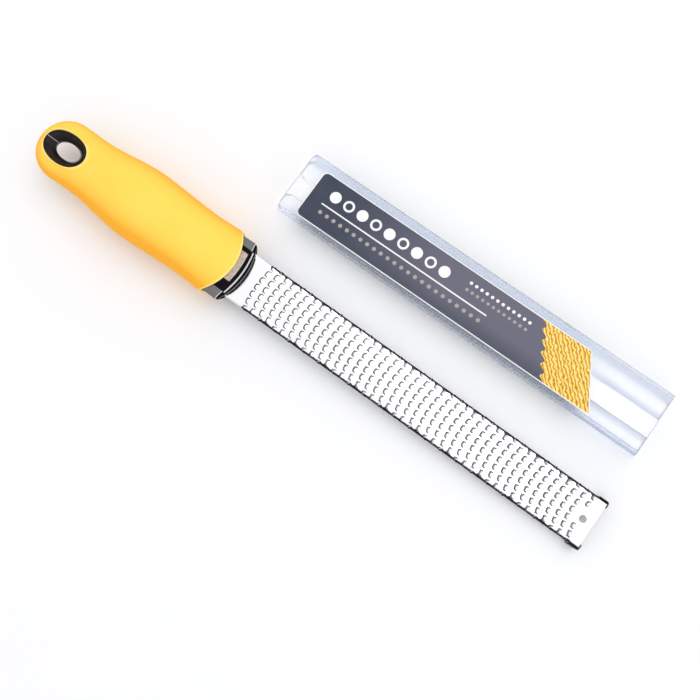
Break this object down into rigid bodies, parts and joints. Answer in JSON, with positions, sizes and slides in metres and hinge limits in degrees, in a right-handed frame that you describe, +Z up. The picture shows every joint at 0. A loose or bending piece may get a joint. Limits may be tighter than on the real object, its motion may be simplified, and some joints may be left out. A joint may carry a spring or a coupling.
{
  "type": "zester with blade cover",
  "caption": "Long rasp zester with a toothed folded-steel blade, smoke collar, soft yellow grip with a hanging hole, and a clear slide-on blade cover lying beside it.",
  "frame": {"origin": "middle of the footprint of the zester and its cover, on the surface they lie on", "axes": "+X along the zester from the handle to the blade's tip, +Y from the zester to its cover, +Z up"},
  "size_m": [0.324, 0.0906, 0.027],
  "materials": {
    "soft_grip": "soft-touch matte",
    "smoke_plastic": "polished, smoke tinted",
    "etched_steel": "bright, finely brushed",
    "tip_plastic": "satin",
    "clear_plastic": "clear, polished",
    "label_film": "printed film"
  },
  "bodies": {
    "zester": {"grip": "soft_grip", "handle_core": "smoke_plastic", "blade": "etched_steel", "end_tip_left": "tip_plastic", "end_tip_right": "tip_plastic"},
    "cover": {"blade_cover": "clear_plastic", "cover_label": "label_film"}
  },
  "joints": [
    {"name": "cover_slide", "type": "slide", "parent": "zester", "child": "cover", "axis": [1, 0, 0], "range_m": [0, 0.209]}
  ]
}
